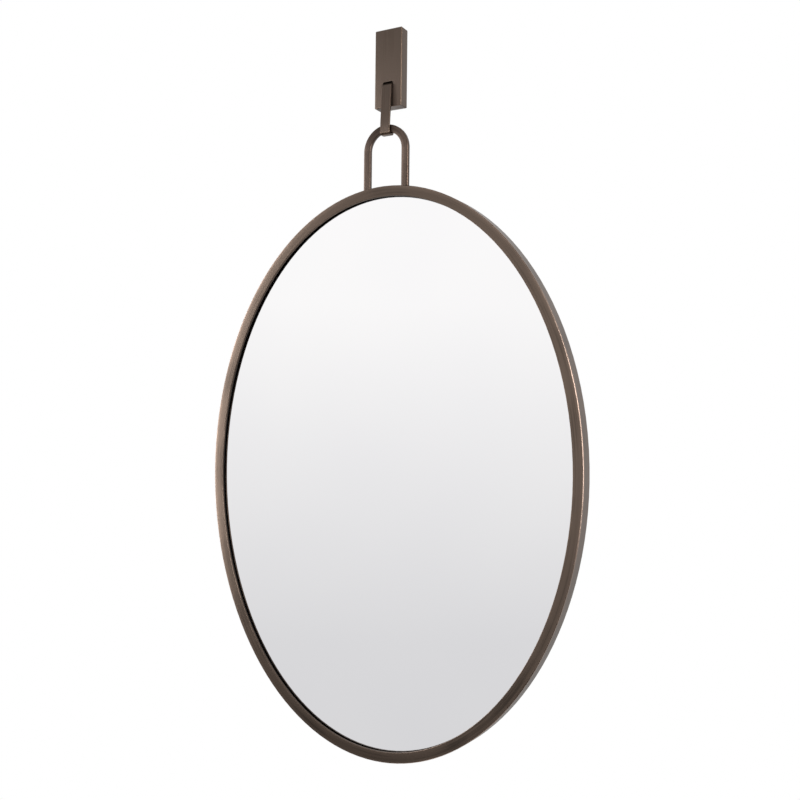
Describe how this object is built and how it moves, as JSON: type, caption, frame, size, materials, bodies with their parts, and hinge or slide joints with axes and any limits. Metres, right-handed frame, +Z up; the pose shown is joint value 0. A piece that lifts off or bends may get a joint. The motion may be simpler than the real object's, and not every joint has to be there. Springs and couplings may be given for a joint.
{
  "type": "oval hanging wall mirror",
  "caption": "Upright oval wall mirror in a thin bronze steel frame, hung by a welded loop from a flat strap hook that swings out of a slotted wall block.",
  "frame": {"origin": "on the wall plane, midway between the wall plate's two fixing holes", "axes": "+X to the right as seen from the room, +Y into the wall, +Z up"},
  "size_m": [0.5589, 0.0238, 0.9781],
  "materials": {
    "bronze_paint": "satin darkened bronze coating on steel",
    "zinc_steel": "bright zinc plate",
    "black_steel": "black oxide",
    "mirror_glass": "polished float glass, silvered at the back",
    "fibreboard": "sanded fibreboard",
    "foam_tape": "matte closed-cell foam",
    "bumper_rubber": "matte moulded"
  },
  "bodies": {
    "wall_bracket": {"wall_plate": "zinc_steel", "wall_block": "bronze_paint", "block_screws": "black_steel", "strap_pin": "zinc_steel", "pin_clip": "black_steel"},
    "strap": {"hanging_strap": "bronze_paint"},
    "mirror": {"hanging_loop": "bronze_paint", "oval_frame": "bronze_paint", "glass_tape": "foam_tape", "mirror_glass": "mirror_glass", "backing_board": "fibreboard", "frame_tabs": "bronze_paint", "tab_screws": "zinc_steel", "wall_bumpers": "bumper_rubber"}
  },
  "joints": [
    {"name": "strap_swing", "type": "hinge", "parent": "wall_bracket", "child": "strap", "pos_m": [0, -0.008, -0.026], "axis": [-1, 0, 0], "range_deg": [0, 12]},
    {"name": "mirror_level", "type": "hinge", "parent": "strap", "child": "mirror", "pos_m": [0, -0.0175, -0.11266], "axis": [0, -1, 0], "range_deg": [-8, 8]}
  ]
}
